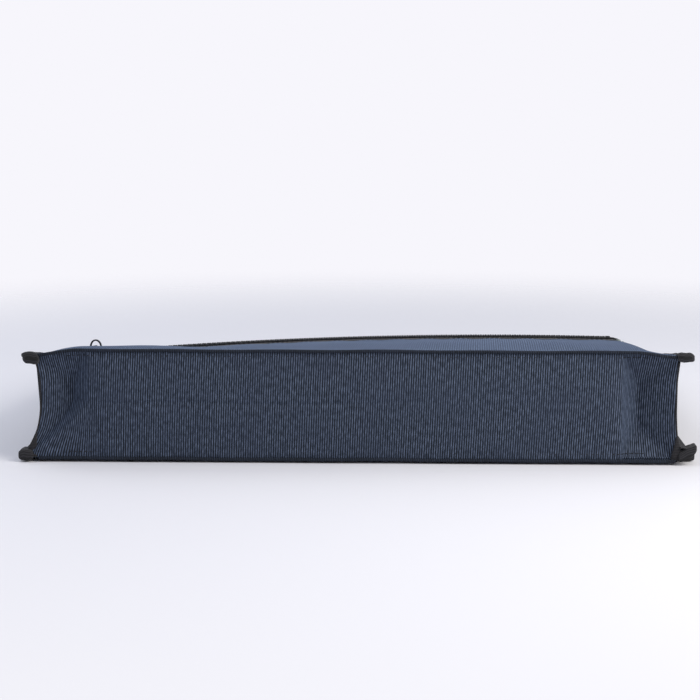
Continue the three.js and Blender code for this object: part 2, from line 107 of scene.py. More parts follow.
def spread(rows, columns):
    return together(rows[:, None], columns[None, :])


def gridPoints(x, y, z):
    return np.stack(together(x, y, z), axis=-1)


def hermite(s, length, a, slopeA, b, slopeB):
    t = s / length
    t2 = t * t
    t3 = t2 * t
    start = (2 * t3 - 3 * t2 + 1) * a + (t3 - 2 * t2 + t) * length * slopeA
    return start + (3 * t2 - 2 * t3) * b + (t3 - t2) * length * slopeB


def seamHeight(x):
    fall = smooth((np.abs(x) - halfWidth + bag["cornerSpan"]) / bag["cornerSpan"])
    return bag["depth"] - bag["cornerDrop"] * fall


def edgeHeight(y):
    straight = lerp(bag["depth"] - bag["cornerDrop"], bag["mouthTop"], y / bagHeight)
    return straight - bag["edgeSag"] * np.sin(np.pi * y / bagHeight)


def zipHeight(x):
    dx = x - bag["zipCrestX"]
    return bag["zipCrest"] - bag["zipRadius"] + np.sqrt(bag["zipRadius"] ** 2 - dx * dx)


zipMiddle = (tapeLowY + tapeHighY) / 2


def frontHeight(x, y):
    x, y = together(x, y)
    level = zipHeight(x)

    def band(at):
        return level + bag["zipSlope"] * (at - zipMiddle)

    slope = lerp(
        bag["nearSlopeLeft"], bag["nearSlopeRight"],
        smooth((x + halfWidth - bag["diveLeft"]) / bag["nearSlopeOver"]),
    )
    near = hermite(y, tapeLowY, seamHeight(x), slope, band(tapeLowY), bag["zipSlope"])
    far = hermite(
        y - tapeHighY, bagHeight - tapeHighY, band(tapeHighY), bag["farSlopeZip"],
        bag["mouthTop"], bag["farSlopeMouth"],
    )
    plateau = np.where(y < tapeLowY, near, np.where(y > tapeHighY, far, band(y)))
    span = np.where(x < 0, bag["diveLeft"], bag["diveRight"])
    side = smooth((np.abs(x) - halfWidth + span) / span) * smooth(y / bag["diveSetIn"])
    return lerp(plateau, edgeHeight(y), side)


# Meshes

def linear(hexColour):
    # An sRGB colour as the linear values that a shader takes
    channels = [int(hexColour[i:i + 2], 16) / 255 for i in (1, 3, 5)]
    return tuple(c / 12.92 if c <= 0.04045 else ((c + 0.055) / 1.055) ** 2.4 for c in channels) + (1.0,)


def meshObject(name, points, faces, material, uvs=None):
    mesh = bpy.data.meshes.new(name)
    mesh.from_pydata(np.asarray(points).tolist(), [], [list(map(int, f)) for f in faces])
    mesh.materials.append(material)
    if uvs is not None:
        layer = mesh.uv_layers.new(name="clothMillimetres")
        loops = np.empty(len(mesh.loops), dtype=np.int64)
        mesh.loops.foreach_get("vertex_index", loops)
        layer.data.foreach_set("uv", np.asarray(uvs, float)[loops].ravel())
    mesh.shade_smooth()
    mesh.update()
    obj = bpy.data.objects.new(name, mesh)
    bpy.context.scene.collection.objects.link(obj)
    return obj


def gridObject(name, outer, inner, material):
    # A closed cloth: outer and inner are arrays of points, rows by columns, in millimetres
    rows, columns = outer.shape[:2]
    count = rows * columns
    index = np.arange(count).reshape(rows, columns)
    a, b, c, d = index[:-1, :-1], index[1:, :-1], index[1:, 1:], index[:-1, 1:]
    front = np.stack([a, b, c, d], axis=-1).reshape(-1, 4)
    back = front[:, ::-1] + count
    rim = np.concatenate([index[0, :], index[1:, -1], index[-1, -2::-1], index[-2:0:-1, 0]])
    following = np.roll(rim, -1)
    edge = np.stack([rim, following, following + count, rim + count], axis=-1)
    points = np.concatenate([outer.reshape(-1, 3), inner.reshape(-1, 3)])
    faces = np.concatenate([front, back, edge])
    first = points[faces[:, 0]]
    cross = np.cross(points[faces[:, 1]] - first, points[faces[:, 2]] - first)
    cross += np.cross(points[faces[:, 2]] - first, points[faces[:, 3]] - first)
    if np.einsum("ij,ij->", cross, first) < 0:
        faces = faces[:, ::-1]
    uvs = np.concatenate([clothUv(outer).reshape(-1, 2)] * 2)
    return meshObject(name, placed(points), faces, material, uvs)


def placed(points):
    # Millimetres from the base's plane to metres in the frame
    return (np.asarray(points, float) + [0, baseY, 0]) * mm


def arcLengths(points, axis):
    # Millimetres along the cloth, so that the weave keeps its size on a bent piece
    step = np.linalg.norm(np.diff(points, axis=axis), axis=-1)
    step = np.mean(step, axis=1 - axis, keepdims=True)
    start = np.zeros_like(np.take(step, [0], axis=axis))
    return np.broadcast_to(np.concatenate([start, np.cumsum(step, axis=axis)], axis=axis), points.shape[:2])


def clothUv(points):
    return np.stack([arcLengths(points, 0), arcLengths(points, 1)], axis=-1)


def ripple(x, y, seed, waves, longest, shortest):
    # Soft random waves with a height near 1, x and y in millimetres
    local = np.random.default_rng(seed)
    total = np.zeros(np.broadcast(x, y).shape)
    for _ in range(waves):
        length = local.uniform(shortest, longest)
        angle = local.uniform(0, math.pi)
        phase = local.uniform(0, 2 * math.pi)
        along = x * math.cos(angle) + y * math.sin(angle)
        total += np.sin(2 * math.pi * along / length + phase)
    return total / math.sqrt(waves)


# Materials

def newMaterial(name):
    material = bpy.data.materials.new(name)
    material.use_nodes = True
    material.node_tree.nodes.clear()
    return material


def addNode(material, kind, settings=None, links=None):
    tree = material.node_tree
    node = tree.nodes.new("ShaderNode" + kind)
    for key, value in (settings or {}).items():
        if isinstance(key, int) or key in node.inputs:
            node.inputs[key].default_value = value
        else:
            setattr(node, key, value)
    for key, socket in (links or {}).items():
        tree.links.new(socket, node.inputs[key])
    return node


polymerIor = 1.5  # polyester, nylon, acetal and enamel all lie near this


def finishMaterial(material, settings, links):
    shader = addNode(material, "BsdfPrincipled", {"IOR": polymerIor, **settings}, links)
    addNode(material, "OutputMaterial", {}, {"Surface": shader.outputs["BSDF"]})
    return material


wavePeriod = math.pi / 10  # a wave texture of scale 1 repeats after this length


# Polyester woven in fine upright ribs, coated behind. The eye sees short light dashes on navy,
# a dull surface, and a paler bloom where it is seen edge-on
navyWeave = {
    "ribPitch": 1.25, "ribShare": (0.28, 0.72),  # of a rib's height, from groove to crest
    "ribLean": 2.5,  # in degrees
    "dashLength": 3.2, "dashesPerRib": 1.1, "dashShare": (0.35, 0.7),
    "crest": "#626e85", "crestDull": "#394355", "groove": "#04080b",
    "tint": "#2d3547", "tintMix": 0.25,  # of faint patches where the dye took unevenly
    "patchLength": 22.2, "patchShare": (0.42, 0.68),
    "roughness": 0.8, "relief": 0.2,
    "bloom": 0.46, "bloomColour": "#8fa6cf",
}


def makeNavyWeave(spec, name):
    material = newMaterial(name)
    uv = addNode(material, "UVMap")
    lean = addNode(
        material, "Mapping", {"Rotation": (0, 0, math.radians(spec["ribLean"]))},
        {"Vector": uv.outputs["UV"]},
    )
    ribs = addNode(
        material, "TexWave",
        {
            "bands_direction": "X", "wave_profile": "SIN", "Scale": wavePeriod / spec["ribPitch"],
            "Distortion": 0.25, "Detail": 1.0,
        },
        {"Vector": lean.outputs["Vector"]},
    )
    streaks = addNode(
        material, "Mapping",
        {"Scale": (spec["dashesPerRib"] / spec["ribPitch"], 1 / spec["dashLength"], 1.0)},
        {"Vector": lean.outputs["Vector"]},
    )
    dashes = addNode(
        material, "TexNoise", {"Scale": 1.0, "Detail": 1.0, "Roughness": 0.6},
        {"Vector": streaks.outputs["Vector"]},
    )
    patches = addNode(
        material, "TexNoise", {"Scale": 1 / spec["patchLength"], "Detail": 3.0},
        {"Vector": uv.outputs["UV"]},
    )
    light, raised, uneven = (
        addNode(
            material, "MapRange", {"From Min": low, "From Max": high, "To Max": top},
            {"Value": source.outputs["Fac"]},
        )
        for source, (low, high), top in (
            (dashes, spec["dashShare"], 1.0), (ribs, spec["ribShare"], 1.0),
            (patches, spec["patchShare"], spec["tintMix"]),
        )
    )
    crest = addNode(
        material, "MixRGB", {"Color1": linear(spec["crestDull"]), "Color2": linear(spec["crest"])},
        {"Fac": light.outputs["Result"]},
    )
    thread = addNode(
        material, "MixRGB", {"Color1": linear(spec["groove"])},
        {"Fac": raised.outputs["Result"], "Color2": crest.outputs["Color"]},
    )
    colour = addNode(
        material, "MixRGB", {"Color2": linear(spec["tint"])},
        {"Fac": uneven.outputs["Result"], "Color1": thread.outputs["Color"]},
    )
    relief = addNode(
        material, "Bump", {"Strength": 0.6, "Distance": spec["relief"] * mm},
        {"Height": ribs.outputs["Fac"]},
    )
    return finishMaterial(
        material,
        {
            "Roughness": spec["roughness"], "Specular IOR Level": 0.25,
            "Sheen Weight": spec["bloom"], "Sheen Roughness": 0.45, "Sheen Tint": linear(spec["bloomColour"]),
        },
        {"Base Color": colour.outputs["Color"], "Normal": relief.outputs["Normal"]},
    )


# Woven tapes: dull, with ribs across or along. Grosgrain, webbing, knitted zipper tape, and taffeta,
# whose threads are drawn coarser than the real ones so that they show
tapes = {
    "binding": {"name": "black grosgrain binding", "light": "#302f33", "dark": "#17171a", "pitch": 0.9,
                "across": True, "roughness": 0.8, "relief": 0.18, "bloom": 0.1},
    "webbing": {"name": "black polypropylene webbing", "light": "#34353a", "dark": "#121316", "pitch": 1.6,
                "across": False, "roughness": 0.62, "relief": 0.3, "bloom": 0.08},
    "zipper": {"name": "black knitted zipper tape", "light": "#2c2c31", "dark": "#131317", "pitch": 0.8,
               "across": False, "roughness": 0.85, "relief": 0.15, "bloom": 0.2},
    "lining": {"name": "grey nylon taffeta lining", "light": "#4a515e", "dark": "#3a404b", "pitch": 0.6,
               "across": True, "roughness": 0.6, "relief": 0.05, "bloom": 0.1},
}
weft = {"share": 0.6, "relief": 0.35}  # the finer threads across the ribs, as shares of the ribs' own


def makeTape(spec):
    material = newMaterial(spec["name"])
    uv = addNode(material, "UVMap")
    ribs = addNode(
        material, "TexWave",
        {
            "bands_direction": "X" if spec["across"] else "Y", "wave_profile": "SIN",
            "Scale": wavePeriod / spec["pitch"], "Distortion": 0.6, "Detail": 1.0, "Detail Scale": 2.0,
        },
        {"Vector": uv.outputs["UV"]},
    )
    wefts = addNode(
        material, "TexWave",
        {
            "bands_direction": "Y" if spec["across"] else "X", "wave_profile": "SIN",
            "Scale": wavePeriod / (spec["pitch"] * weft["share"]), "Distortion": 0.4,
        },
        {"Vector": uv.outputs["UV"]},
    )
    weave = addNode(
        material, "Math", {"operation": "MULTIPLY_ADD", 1: weft["relief"]},
        {0: wefts.outputs["Fac"], 2: ribs.outputs["Fac"]},
    )
    colour = addNode(
        material, "MixRGB", {"Color1": linear(spec["dark"]), "Color2": linear(spec["light"])},
        {"Fac": ribs.outputs["Fac"]},
    )
    relief = addNode(
        material, "Bump", {"Strength": 0.7, "Distance": spec["relief"] * mm},
        {"Height": weave.outputs["Value"]},
    )
    return finishMaterial(
        material,
        {
            "Roughness": spec["roughness"], "Specular IOR Level": 0.3,
            "Sheen Weight": spec["bloom"], "Sheen Roughness": 0.5,
        },
        {"Base Color": colour.outputs["Color"], "Normal": relief.outputs["Normal"]},
    )


# Smooth finishes, none of them bare metal, each with a faint unevenness in its gloss from how it was
# made. grain is the length of that in millimetres, and on the threads it is coarser than the fibres
solids = {
    "teeth": {"name": "moulded black acetal teeth", "colour": "#1c1c20", "roughness": 0.38, "grain": 1.11},
    "slider": {
        "name": "black enamelled zinc die casting", "colour": "#1b1b1f", "roughness": 0.3, "grain": 2.86,
    },
    "thread": {"name": "navy polyester thread", "colour": "#10151f", "roughness": 0.6, "grain": 0.4},
    "blackThread": {"name": "black polyester thread", "colour": "#26262b", "roughness": 0.55, "grain": 0.4},
    # pale grey green, a painted highlight for the light caught on the folded tape end's edges
    "tapeEndHighlight": {
        "name": "pale painted highlight on the folded zipper tape edge", "colour": "#8e9994", "roughness": 0.5, "grain": 0.83,
    },
    "board": {"name": "pressed grey board", "colour": "#8a867d", "roughness": 0.9, "grain": 1.67},
}


def makeSolid(spec):
    material = newMaterial(spec["name"])
    place = addNode(material, "TexCoord")
    grain = addNode(
        material, "TexNoise", {"Scale": 1 / (spec["grain"] * mm), "Detail": 2.0},
        {"Vector": place.outputs["Object"]},
    )
    relief = addNode(
        material, "Bump", {"Strength": 0.15, "Distance": 0.05 * mm},
        {"Height": grain.outputs["Fac"]},
    )
    return finishMaterial(
        material, {"Base Color": linear(spec["colour"]), "Roughness": spec["roughness"]},
        {"Normal": relief.outputs["Normal"]},
    )


# The same weave darkened, as painted shade for the dark line where the cloth turns over a seam
shadedWeave = {**navyWeave, "crest": "#2a3240", "crestDull": "#1c222d", "groove": "#10141c", "bloom": 0.04}

navy = makeNavyWeave(navyWeave, "navy ribbed polyester weave")
shadedNavy = makeNavyWeave(shadedWeave, "navy weave darkened for painted seam shade")
binding = makeTape(tapes["binding"])
webbing = makeTape(tapes["webbing"])
zipTape = makeTape(tapes["zipper"])
lining = makeTape(tapes["lining"])
teethPlastic = makeSolid(solids["teeth"])
enamel = makeSolid(solids["slider"])
navyThread = makeSolid(solids["thread"])
blackThread = makeSolid(solids["blackThread"])
tapeEndHighlight = makeSolid(solids["tapeEndHighlight"])
greyBoard = makeSolid(solids["board"])
print("materials made")


def dress(obj, slotName, *nodes):
    # Every sewn piece is on the shell
    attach(obj, "shell")
    if nodes:
        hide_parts(*nodes)


def sewCloth(name, outer, inner, material, slotName, node):
    dress(gridObject(name, outer, inner, material), slotName, node)


# The base, which faces the camera: a flat middle held by the board, and ends dented like an
# envelope's corners where the bellows pull them in
base = {
    # rim is the depth left at the outer fold. Below bend, the dent's inner edge runs out to the corner
    "leftInner": -144.0, "leftValley": -155.0, "leftDepth": 8.8, "leftRim": 1.2, "leftBend": 33.0,
    "rightInner": 142.5, "rightValley": 152.5, "rightDepth": 10.4, "rightRim": 0.5, "rightBend": 0.0,
    "bendFoot": 3.0, "corner": 19.0,
    "foldRound": 0.035,  # of the depth, where two facets meet
    "flareLeft": 5.0, "flareRight": 1.5, "flareRise": 30.0,
    "low": 1.8, "topGap": 1.2,  # its edges lie behind the ridges
    "setBack": 0.12,
    "pucker": 0.22, "puckerFade": 6.0,
    "bulge": 2.6,  # the cloth stands out a little at mid height
    "endWidth": 26.0, "endFade": 12.0,
    "bowFrom": 140.0, "bowOver": 30.0,
    "crease": 0.6,  # the faint line across the middle, where it was folded flat
    "creaseHeight": 33.0, "creaseTilt": 0.004, "creaseWide": 0.9, "creaseEnd": 60.0, "creaseFade": 70.0,
    "tug": 0.25, "tugRise": 3.0, "tugPitch": 17.0,  # small pulls along the lower seam
}


def roundedMin(values, radius):
    # The lowest of several planes, with their meeting edges rounded
    stack = np.stack(np.broadcast_arrays(*values))
    low = stack.min(axis=0)
    return low - radius * np.log(np.exp(-(stack - low) / radius).sum(axis=0))


def baseDent(x, z):
    x, z = together(x, z)
    top = seamHeight(x)
    total = np.zeros(x.shape)
    for side in ("left", "right"):
        inner, valley = base[side + "Inner"], base[side + "Valley"]
        depth, bend = base[side + "Depth"], base[side + "Bend"]
        edge = math.copysign(halfWidth, valley)
        runOut = np.clip((bend - z) / max(bend - base["bendFoot"], 1), 0, 1)
        into = (x - lerp(inner, edge, runOut)) / (valley - inner)
        corner = (top - z if bend else np.minimum(z, top - z)) / base["corner"]
        outOf = 1 - (x - valley) / (edge - valley) * (1 - base[side + "Rim"] / depth)
        dent = roundedMin([corner, into, outOf], base["foldRound"])
        total = total + depth * np.clip(dent, 0, None)
    return total


def edgeBowAt(z, side):
    # The end folds bow in, the left one twice as far, and near the table they spread again
    bow = bag["edgeBow"] * smooth(np.minimum(z, bag["depth"] - z) / base["corner"])
    flare = np.where(side < 0, base["flareLeft"], base["flareRight"]) * (1 - smooth(z / base["flareRise"]))
    return bow * np.where(side < 0, 2.0, 1.0) - flare


def closerAtEnds(edge, left, right, counts, gap=1):
    # Stations from side to side of the bag, closer together beyond left and right
    return np.concatenate([
        np.linspace(-edge, left, counts[0]), np.linspace(left + gap, right, counts[1]),
        np.linspace(right + gap, edge, counts[2]),
    ])


def buildBase():
    x, t = spread(closerAtEnds(halfWidth - 0.2, -139, 135, (50, 210, 54)), np.linspace(0, 1, 90))
    low, high = base["low"], seamHeight(x) - base["topGap"]
    z = lerp(low, high, t)
    fade = smooth(np.minimum(z - low, high - z) / base["puckerFade"])
    middle = smooth((halfWidth - base["endWidth"] - np.abs(x)) / base["endFade"])
    soft = ripple(x, z, seed=3, waves=9, longest=90, shortest=24) * base["pucker"] * fade
    line = base["creaseHeight"] + base["creaseTilt"] * x + 0.5 * np.sin(x / 21.0)
    reach = smooth((base["creaseEnd"] - x) / base["creaseFade"]) * middle
    fold = base["crease"] * np.exp(-((z - line) / base["creaseWide"]) ** 2) * reach
    pulls = 0.5 + 0.5 * np.sin(2 * math.pi * x / base["tugPitch"] + np.sin(x / 31.0))
    tug = base["tug"] * np.exp(-(z - low) / base["tugRise"]) * pulls
    bulge = base["bulge"] * np.sin(math.pi * (z - low) / (high - low)) * middle
    y = baseDent(x, z) + np.clip(soft + fold + tug, -0.1, 1.0) + base["setBack"] - bulge
    bow = edgeBowAt(z, x) * smooth((np.abs(x) - base["bowFrom"]) / base["bowOver"])
    outer = gridPoints(x - np.sign(x) * bow, y, z)
    sewCloth("baseCloth", outer, outer + [0, bag["cloth"], 0], navy, "navy_cloth", "base_panel")


# The front, lying uppermost: a pocket face below the zipper and a panel above it, both eased
# over what is inside
front = {
    "ease": 0.55,  # height of the soft waves over the contents
    "calmSides": 14.0, "calmEnds": 10.0, "calmZip": 14.0,  # they die out over these widths
    "gather": 0.3,  # puckers drawn in along the zipper's stitching
    "gatherPitch": 19.0, "gatherReach": 6.0, "gatherFrom": 13.0, "gatherEnd": 160.0,
    "crown": 1.5, "crownX": -132.0, "crownWide": 24.0,  # the pocket stands up a little before the slider
    "crownNear": 16.0, "crownFar": 98.0, "crownFade": 40.0,
    "hem": 0.5,  # the cloth is turned under at both edges
    "hemStart": 0.5, "hemEnd": 0.4, "tapeGap": 0.3,
    "overlap": 0.12,  # past the side seams, into the binding
}


def frontLift(x, y):
    offZip = np.abs(y - zipMiddle)
    offTape = offZip - (tapeHighY - zipMiddle)
    calm = smooth((halfWidth - np.abs(x)) / front["calmSides"])
    calm = calm * smooth(y / front["calmEnds"]) * smooth((bagHeight - y) / front["calmEnds"])
    waves = ripple(x, y, seed=11, waves=8, longest=150, shortest=46) * front["ease"] * calm
    crown = np.exp(-((x - front["crownX"]) / front["crownWide"]) ** 2)
    crown = crown * smooth(y / front["crownNear"]) * smooth((front["crownFar"] - y) / front["crownFade"])
    waves = waves * smooth(offTape / front["calmZip"]) + front["crown"] * crown
    near = np.exp(-offTape.clip(0) / front["gatherReach"])
    gathers = front["gather"] * near * np.sin(2 * math.pi * x / front["gatherPitch"] + np.sin(x / 37.0))
    ends = smooth((front["gatherEnd"] - np.abs(x)) / 12) * smooth((offZip - front["gatherFrom"]) / 2)
    return waves + gathers * ends


def frontPoints(x, y, lift):
    return gridPoints(x, y, frontHeight(x, y) + lift)


frontColumns = closerAtEnds(halfWidth + front["overlap"], -158, 143, (20, 190, 40))


def buildFront(name, node, yStart, yEnd, rows):
    x, y = spread(frontColumns, np.linspace(yStart, yEnd, rows))
    lift = frontLift(x, y)
    hem = front["hem"] * (np.exp(-(y - yStart) / 0.5) + np.exp(-(yEnd - y) / 0.5))
    outer = frontPoints(x, y, lift - hem)
    sewCloth(name, outer, frontPoints(x, y, lift - bag["cloth"]), navy, "navy_cloth", node)


backPanel = {"gap": 0.25, "ripple": 0.2, "calm": 16.0, "nearEnd": 1.5, "farEnd": 1.0}


def buildPanels():
    buildFront("pocketCloth", "pocket_front", front["hemStart"], tapeLowY - front["tapeGap"], 80)
    buildFront("frontCloth", "front_panel", tapeHighY + front["tapeGap"], bagHeight - front["hemEnd"], 100)
    ys = np.linspace(backPanel["nearEnd"], bagHeight - backPanel["farEnd"], 90)
    x, y = spread(np.linspace(-halfWidth, halfWidth, 120), ys)
    calm = smooth(np.minimum(halfWidth - np.abs(x), np.minimum(y, bagHeight - y)) / backPanel["calm"])
    waves = np.clip(ripple(x, y, seed=5, waves=7, longest=160, shortest=60), -1, 1)
    outer = gridPoints(x, y, panelLow[2] + backPanel["gap"] + waves * backPanel["ripple"] * calm)
    sewCloth("backCloth", outer, outer + [0, 0, bag["cloth"]], navy, "navy_cloth", "back_panel")


# The bellows sides, folded in along their middle, deepest behind the base and shallow at the mouth
bellows = {
    "deep": 14.0, "rise": 60.0, "mouth": 4.0, "easeFrom": 150.0,
    "foldRound": 0.012,
    "slack": 0.35, "slackRise": 30.0,
    "low": 0.3, "gap": 0.4, "seam": 1.6, "mouthGap": 2.0, "aside": 0.3,  # to the cloths round it
    "roofAside": 2.4,
}


def bellowsFold(y, t):
    deep = lerp(bag["edgeBow"], bellows["deep"], smooth(y / bellows["rise"]))
    easeFrom, foldRound = bellows["easeFrom"], bellows["foldRound"]
    eased = lerp(deep, bellows["mouth"], smooth((y - easeFrom) / (bagHeight - easeFrom)))
    # a fold line in the middle, with each half easing into it
    return eased * (1 - np.sqrt((2 * t - 1) ** 2 + foldRound)) / (1 - math.sqrt(foldRound))


def buildGusset(side, name, node):
    low = panelHigh[2] + bellows["low"]
    s, t = spread(np.linspace(0, 1, 110), np.linspace(0, 1, 34))
    zStart = lerp(low, edgeHeight(0.0) - bellows["seam"], t)
    yStart = baseDent(side * halfWidth, zStart) + bag["cloth"] + bellows["gap"]
    y = lerp(yStart, bagHeight - bellows["mouthGap"], s)
    roof = np.minimum(edgeHeight(y), frontHeight(side * (halfWidth - bellows["roofAside"]), y))
    z = lerp(low, roof - bag["cloth"] - bellows["gap"], t)
    waves = np.clip(ripple(y, z, seed=21 + side, waves=6, longest=90, shortest=30), -1.5, 1.5)
    slack = waves * bellows["slack"] * smooth(np.minimum(t, 1 - t) * 6)
    away = smooth(y / bellows["slackRise"])
    inset = np.clip(bellowsFold(y, t) + slack * away, 0.0, None)
    inset = inset + (edgeBowAt(z, side) - bag["edgeBow"]).clip(-9, 0) * (1 - away)
    outer = gridPoints(side * (halfWidth - bellows["aside"] - inset), y, z)
    sewCloth(name, outer, outer - [side * bag["cloth"], 0, 0], navy, "navy_cloth", node)


buildBase()
print("base cloth made")
buildPanels()
buildGusset(-1, "leftGussetCloth", "left_gusset")
buildGusset(1, "rightGussetCloth", "right_gusset")
print("panels and gussets made")


def ringsObject(name, rings, material, uv=None):
    # A solid through closed rings, stations by points, in millimetres, with both ends closed
    stations, around = rings.shape[:2]
    index = np.arange(stations * around).reshape(stations, around)
    following = np.roll(index, -1, axis=1)
    sides = np.stack([index[:-1], following[:-1], following[1:], index[1:]], axis=-1).reshape(-1, 4)
    ends = np.stack([rings[0].mean(axis=0), rings[-1].mean(axis=0)])
    points = np.concatenate([rings.reshape(-1, 3), ends])
    first = stations * around
    capStart = [(b, a, first) for a, b in zip(index[0], following[0])]
    capEnd = [(a, b, first + 1) for a, b in zip(index[-1], following[-1])]
    faces = sides.tolist() + capStart + capEnd
    centre = points.mean(axis=0)
    a, b, c = (points[sides[:, k]] - centre for k in (0, 1, 2))
    if np.einsum("ij,ij->", np.cross(b - a, c - a), a) < 0:
        faces = [tuple(reversed(f)) for f in faces]
    uv = clothUv(rings) if uv is None else uv
    uvs = np.concatenate([uv.reshape(-1, 2), uv[0, :1], uv[-1, :1]])
    return meshObject(name, placed(points), faces, material, uvs)


def squareRound(count, power):
    # Unit points round a rounded rectangle
    angle = np.linspace(0, 2 * math.pi, count, endpoint=False)
    c, s = np.cos(angle), np.sin(angle)
    return np.sign(c) * np.abs(c) ** (2 / power), np.sign(s) * np.abs(s) ** (2 / power)


def tubeFaces(stations, around):
    # The sides and both ends of a solid through closed rings of points
    faces = []
    for first in range(0, (stations - 1) * around, around):
        for i in range(around):
            a, b = first + i, first + (i + 1) % around
            faces.append((a, b, b + around, a + around))
    end = (stations - 1) * around
    return faces + [tuple(range(around))[::-1], tuple(range(end, end + around))]


def joinedObject(name, parts, material):
    # One mesh out of several (points, faces) parts, in millimetres
    points, faces, start = [], [], 0
    for partPoints, partFaces in parts:
        points.append(np.asarray(partPoints, float))
        faces.extend(tuple(i + start for i in f) for f in partFaces)
        start += len(partPoints)
    allPoints = np.concatenate(points)
    return meshObject(name, placed(allPoints), faces, material, allPoints[:, :2])


# Lock stitches: short rounded lengths of thread, sunk a little into the cloth at both ends
stitch = {"pitch": 2.8, "length": 2.1, "radius": 0.24, "rise": 0.1, "sink": 0.35, "gap": 0.02}


def stitchParts(path, up):
    steps = np.linalg.norm(np.diff(path, axis=0), axis=1)
    along = np.concatenate([[0], np.cumsum(steps)])
    count = int(along[-1] / stitch["pitch"])
    rings, sides = 5, 6
    faces = tubeFaces(rings, sides)
    parts = []
    for k in range(count):
        middle = (k + 0.5) * along[-1] / count
        ends = np.array([[np.interp(middle + d, along, path[:, j]) for j in range(3)] for d in (-0.5, 0.5)])
        centre = ends.mean(axis=0)
        direction = ends[1] - ends[0]
        direction /= np.linalg.norm(direction)
        normal = np.asarray(up, float)
        normal = normal - direction * normal.dot(direction)
        normal /= np.linalg.norm(normal)
        sideways = np.cross(direction, normal)
        points = []
        for s in np.linspace(-1, 1, rings):
            radius = stitch["radius"] * math.sqrt(max(0.12, 1 - s * s))
            lift = stitch["rise"] * (1 - s * s) - stitch["sink"] * stitch["radius"] * s * s
            for a in range(sides):
                angle = 2 * math.pi * a / sides
                offset = radius * (math.cos(angle) * normal + math.sin(angle) * sideways)
                points.append(centre + direction * s * stitch["length"] / 2 + normal * lift + offset)
        parts.append((points, faces))
    return parts


def stitches(name, paths, up, material, slotName):
    parts = [part for path in paths for part in stitchParts(path, up)]
    dress(joinedObject(name, parts, material), slotName)


# Black grosgrain folded over the raw edges of a side seam. At the base its end is folded back
# on itself and stands out as a stub, each one pushed about in its own way
bindings = {
    "thick": 3.0, "frontWidth": 8.6, "backWidth": 10.4, "squareness": 3.0,
    "seamGap": 0.2, "tableGap": 0.02, "frontDrop": 0.6, "waver": 0.25,
    "proud": 2.2, "stubLength": 9.0, "stubEase": 2.5, "stubWarp": 0.18,
    "plyThick": 0.7, "plyLine": 0.3,
    "rightLift": 1.5,  # the right front seam stands up a little
    "liftFrom": 8.0, "liftOver": 25.0, "liftEnd": 230.0, "liftFade": 80.0,
    "stitchAside": 2.2, "stitchFrom": 11.0,
}
stubs = {
    "frontLeft": {"thick": 6.7, "width": 9.0, "lift": -1.9, "tilt": 0.12, "shift": -2.9},
    "frontRight": {"thick": 5.2, "width": 9.2, "lift": 0.2, "tilt": -0.05, "shift": -1.5},
    "backLeft": {"thick": 5.8, "width": 8.2, "lift": 0.3, "tilt": 0.04, "shift": 1.5},
    "backRight": {"thick": 5.4, "width": 9.8, "lift": 0.9, "tilt": 0.5, "shift": 0.4},
}


def buildBinding(side, layer, name, node):
    stubSize = stubs[layer + ("Left" if side < 0 else "Right")]
    proud, stubLength, ease = bindings["proud"], bindings["stubLength"], bindings["stubEase"]
    y = np.concatenate([np.linspace(-proud, stubLength, 40), np.linspace(stubLength + 1, bagHeight, 150)])
    stub = 1 - smooth((y - stubLength + ease) / ease)
    tip = np.sqrt(np.clip(1 - ((0.2 - y) / (proud + 0.2)).clip(0, 1) ** 3, 0.08, 1))
    thick = lerp(bindings["thick"], stubSize["thick"], stub) * tip
    width = lerp(bindings[layer + "Width"], stubSize["width"], stub) * (0.75 + 0.25 * tip)
    if layer == "front":
        waver = bindings["waver"] * np.sin(y / 11.0 + side) * smooth((y - 12) / 20)
        middle = edgeHeight(y.clip(0)) - bindings["frontDrop"] + waver
        if side > 0:
            rise = bindings["rightLift"] * smooth((y - bindings["liftFrom"]) / bindings["liftOver"])
            rise = rise * smooth((bindings["liftEnd"] - y) / bindings["liftFade"])
            middle, thick = middle + rise / 2, thick + rise
    else:
        middle = thick / 2 + bindings["tableGap"]
    middle = middle + stubSize["lift"] * stub
    u, v = squareRound(36, bindings["squareness"])
    centreX = side * (halfWidth + bindings["seamGap"] + width / 2 + stubSize["shift"] * stub)
    rings = gridPoints(
        centreX[:, None] + width[:, None] / 2 * u, y[:, None], middle[:, None] + thick[:, None] / 2 * v,
    )
    # the folded end shows the edge between its plies, and leans
    outward = (side * (rings[..., 0] - side * halfWidth)).clip(0)
    plyLine = bindings["plyLine"] * np.exp(-((v - 0.15) / 0.13) ** 2) * np.sign(u)
    rings[..., 0] -= plyLine * stub[:, None]
    rings[..., 2] += stubSize["tilt"] * outward * stub[:, None]
    rings[..., 2] += bindings["stubWarp"] * stub[:, None] * np.sin(outward * 1.3 + side)
    rings[..., 2] = np.maximum(rings[..., 2], bindings["tableGap"])
    dress(ringsObject(name, rings, binding), "binding_tape", node)
    sewn = y > bindings["stitchFrom"]
    aside = side * (halfWidth + bindings["stitchAside"])
    return gridPoints(aside, y[sewn], (middle + thick / 2)[sewn] + stitch["gap"])


# One ply of the tape end at the lower right has come away and stands a little above the rest
loosePly = {"aside": 1.4, "length": 6.6, "width": 7.2, "middle": 2.4, "height": 9.4, "fall": 2.2, "arch": 0.5}


def buildLoosePly():
    t = np.linspace(0, 1, 20)[:, None]
    u, v = squareRound(20, 4.0)
    x = halfWidth + loosePly["aside"] + loosePly["length"] * t
    y = loosePly["middle"] + loosePly["width"] / 2 * u
    z = loosePly["height"] - loosePly["fall"] * t + loosePly["arch"] * np.sin(math.pi * t)
    rings = gridPoints(x, y, z + bindings["plyThick"] / 2 * v)
    dress(ringsObject("loosePly", rings, binding), "binding_tape")
